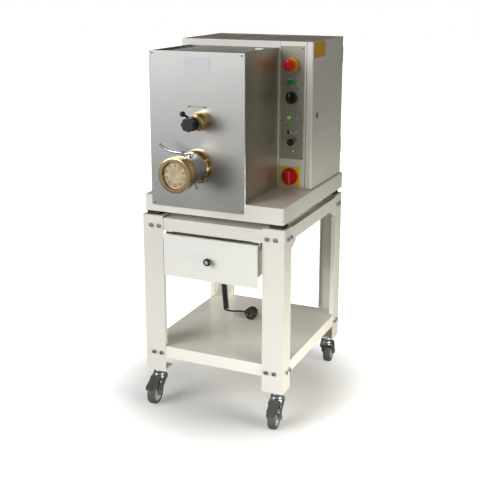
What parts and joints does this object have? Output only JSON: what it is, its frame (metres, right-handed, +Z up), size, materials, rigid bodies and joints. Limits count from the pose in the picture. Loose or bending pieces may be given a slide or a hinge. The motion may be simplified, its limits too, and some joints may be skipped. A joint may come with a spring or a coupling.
{
  "type": "pasta extruder machine",
  "caption": "Floor-standing pasta machine: a mixing tank with a brass-nosed extruder, a housing with a control column, and a wheeled trolley with a drawer",
  "frame": {"origin": "on the floor, under the middle of the machine's overall box", "axes": "+Z up, the machine's longest extent; +X to the operator's right; the extruder faces -Y"},
  "size_m": [0.5578, 0.8316, 1.327],
  "materials": {
    "cream_paint": "semi-gloss cream powder coat",
    "steel_plate": "brushed stainless steel",
    "zinc": "bright zinc plating",
    "caster_tyre": "dark grey tread on a light hub",
    "pedal": "dark grey paint",
    "pads": "black rubber",
    "black_plastic": "black phenolic plastic",
    "brass": "turned and polished brass",
    "bronze": "pale machined bronze",
    "polished_steel": "polished steel",
    "panel": "grey fine-textured panel",
    "amber": "amber plastic",
    "red": "red plastic",
    "green": "green plastic",
    "lens": "coloured lamp lens",
    "yellow": "yellow plastic",
    "cast_iron": "painted cast iron",
    "gear_steel": "oiled steel",
    "grey_plastic": "grey plastic",
    "cord": "black flexible plastic"
  },
  "bodies": {
    "frame": {"legs": "cream_paint", "frame_rails": "cream_paint", "shelf": "cream_paint", "drawer_runners": "cream_paint", "rubber_pads": "pads", "trolley_bolts": "zinc", "caster_stems": "zinc", "base_pan": "cream_paint", "housing_shell": "cream_paint", "control_column": "cream_paint", "bulkhead": "cast_iron", "front_plate": "steel_plate", "tank_casing": "steel_plate", "mixing_tank": "steel_plate", "gearmotor": "cast_iron", "mixer_bush": "brass", "barrel_flange": "brass", "control_plate": "panel", "estop_collar": "amber", "chrome_bezels": "polished_steel", "lamp_lenses": "lens", "switch_plate": "yellow", "control_gear": "grey_plastic", "cord_gland": "cord", "curly_cord": "cord", "plug_lead": "cord", "plug": "cord"},
    "drawer": {"drawer": "cream_paint", "drawer_knob": "black_plastic"},
    "door": {"service_door": "cream_paint"},
    "lock": {"door_lock": "polished_steel"},
    "lid": {"lid_grate": "steel_plate"},
    "mixer": {"mixing_shaft": "steel_plate", "mixer_gear": "gear_steel"},
    "auger": {"auger": "steel_plate", "auger_gear": "gear_steel"},
    "pinion": {"drive_pinion": "gear_steel"},
    "fan": {"motor_fan": "grey_plastic"},
    "lobed_knob": {"lobed_knob": "black_plastic"},
    "ball_lever": {"ball_lever": "polished_steel"},
    "sleeve": {"barrel_sleeve": "polished_steel", "die": "bronze"},
    "ring_nut": {"ring_nut": "brass"},
    "estop": {"estop_button": "red"},
    "start": {"start_button": "green"},
    "selector": {"selector_knob": "black_plastic"},
    "toggle_upper": {"upper_toggle": "polished_steel"},
    "toggle_lower": {"lower_toggle": "polished_steel"},
    "speed": {"speed_knob": "black_plastic"},
    "main_switch": {"main_switch_knob": "red"},
    "fork_fl": {"caster_fork_fl": "zinc"},
    "wheel_fl": {"caster_wheel_fl": "caster_tyre"},
    "pedal_left": {"brake_pedal_left": "pedal"},
    "fork_fr": {"caster_fork_fr": "zinc"},
    "wheel_fr": {"caster_wheel_fr": "caster_tyre"},
    "pedal_right": {"brake_pedal_right": "pedal"},
    "fork_rl": {"caster_fork_rl": "zinc"},
    "wheel_rl": {"caster_wheel_rl": "caster_tyre"},
    "fork_rr": {"caster_fork_rr": "zinc"},
    "wheel_rr": {"caster_wheel_rr": "caster_tyre"}
  },
  "joints": [
    {"name": "drawer_slide", "type": "slide", "parent": "frame", "child": "drawer", "axis": [0, -1, 0], "range_m": [0, 0.28]},
    {"name": "door_hinge", "type": "hinge", "parent": "frame", "child": "door", "pos_m": [0.2497, 0.3929, 1.065], "axis": [0, 0, 1], "range_deg": [0, 110]},
    {"name": "lock_turn", "type": "hinge", "parent": "door", "child": "lock", "pos_m": [0.25, 0.0992, 1.065], "axis": [1, 0, 0], "range_deg": [0, 90]},
    {"name": "lid_hinge", "type": "hinge", "parent": "frame", "child": "lid", "pos_m": [0, 0.0452, 1.3005], "axis": [-1, 0, 0], "range_deg": [0, 85]},
    {"name": "mixer_spin", "type": "hinge", "parent": "frame", "child": "mixer", "pos_m": [-0.031, 0, 1.077], "axis": [0, 1, 0], "continuous": true},
    {"name": "auger_spin", "type": "hinge", "parent": "frame", "child": "auger", "pos_m": [-0.051, 0, 0.91826], "axis": [0, 1, 0], "continuous": true},
    {"name": "pinion_spin", "type": "hinge", "parent": "frame", "child": "pinion", "pos_m": [-0.16523, 0, 1.1545], "axis": [0, 1, 0], "continuous": true},
    {"name": "fan_spin", "type": "hinge", "parent": "frame", "child": "fan", "pos_m": [-0.16523, 0, 1.1545], "axis": [0, 1, 0], "continuous": true},
    {"name": "lobed_knob_turn", "type": "hinge", "parent": "frame", "child": "lobed_knob", "pos_m": [-0.031, -0.3458, 1.077], "axis": [0, 1, 0], "continuous": true},
    {"name": "ball_lever_turn", "type": "hinge", "parent": "frame", "child": "ball_lever", "pos_m": [-0.031, -0.3208, 1.077], "axis": [0, 1, 0], "range_deg": [0, 70]},
    {"name": "sleeve_turn", "type": "hinge", "parent": "frame", "child": "sleeve", "pos_m": [-0.051, -0.3358, 0.91826], "axis": [0, 1, 0], "range_deg": [0, 45]},
    {"name": "ring_nut_turn", "type": "hinge", "parent": "sleeve", "child": "ring_nut", "pos_m": [-0.051, -0.3858, 0.91826], "axis": [0, 1, 0], "continuous": true},
    {"name": "estop_press", "type": "slide", "parent": "frame", "child": "estop", "axis": [0, 1, 0], "range_m": [0, 0.005]},
    {"name": "start_press", "type": "slide", "parent": "frame", "child": "start", "axis": [0, 1, 0], "range_m": [0, 0.004], "stiffness_N_per_m": 800, "springref_m": -0.001},
    {"name": "selector_turn", "type": "hinge", "parent": "frame", "child": "selector", "pos_m": [0.1775, 0.0417, 1.13], "axis": [0, 1, 0], "range_deg": [-45, 45]},
    {"name": "upper_toggle_tilt", "type": "hinge", "parent": "frame", "child": "toggle_upper", "pos_m": [0.195, 0.0487, 1.06], "axis": [-1, 0, 0], "range_deg": [0, 24]},
    {"name": "lower_toggle_tilt", "type": "hinge", "parent": "frame", "child": "toggle_lower", "pos_m": [0.195, 0.0487, 1.006], "axis": [-1, 0, 0], "range_deg": [0, 24]},
    {"name": "speed_turn", "type": "hinge", "parent": "frame", "child": "speed", "pos_m": [0.1775, 0.0437, 0.97], "axis": [0, 1, 0], "range_deg": [-135, 135]},
    {"name": "main_switch_turn", "type": "hinge", "parent": "frame", "child": "main_switch", "pos_m": [0.174, 0.0417, 0.843], "axis": [0, 1, 0], "range_deg": [0, 90]},
    {"name": "swivel_fl", "type": "hinge", "parent": "frame", "child": "fork_fl", "pos_m": [-0.238, -0.2128, 0.1], "axis": [0, 0, 1], "continuous": true},
    {"name": "roll_fl", "type": "hinge", "parent": "fork_fl", "child": "wheel_fl", "pos_m": [-0.23434, -0.25464, 0.045], "axis": [0.9962, 0.0872, 0], "continuous": true},
    {"name": "left_brake", "type": "hinge", "parent": "fork_fl", "child": "pedal_left", "pos_m": [-0.23539, -0.24268, 0.092], "axis": [0.9962, 0.0872, 0], "range_deg": [-20, 0]},
    {"name": "swivel_fr", "type": "hinge", "parent": "frame", "child": "fork_fr", "pos_m": [0.238, -0.2128, 0.1], "axis": [0, 0, 1], "continuous": true},
    {"name": "roll_fr", "type": "hinge", "parent": "fork_fr", "child": "wheel_fr", "pos_m": [0.24385, -0.25439, 0.045], "axis": [0.9903, 0.1392, 0], "continuous": true},
    {"name": "right_brake", "type": "hinge", "parent": "fork_fr", "child": "pedal_right", "pos_m": [0.24218, -0.2425, 0.092], "axis": [0.9903, 0.1392, 0], "range_deg": [-20, 0]},
    {"name": "swivel_rl", "type": "hinge", "parent": "frame", "child": "fork_rl", "pos_m": [-0.238, 0.3282, 0.1], "axis": [0, 0, 1], "continuous": true},
    {"name": "roll_rl", "type": "hinge", "parent": "fork_rl", "child": "wheel_rl", "pos_m": [-0.22927, 0.36928, 0.045], "axis": [-0.9781, 0.2079, 0], "continuous": true},
    {"name": "swivel_rr", "type": "hinge", "parent": "frame", "child": "fork_rr", "pos_m": [0.238, 0.3282, 0.1], "axis": [0, 0, 1], "continuous": true},
    {"name": "roll_rr", "type": "hinge", "parent": "fork_rr", "child": "wheel_rr", "pos_m": [0.23216, 0.36979, 0.045], "axis": [-0.9903, -0.1392, 0], "continuous": true}
  ],
  "couplings": [
    {"joint": "auger_spin", "follows": "mixer_spin", "ratio": -1.9091},
    {"joint": "pinion_spin", "follows": "mixer_spin", "ratio": -2.1},
    {"joint": "fan_spin", "follows": "mixer_spin", "ratio": -29.4}
  ]
}
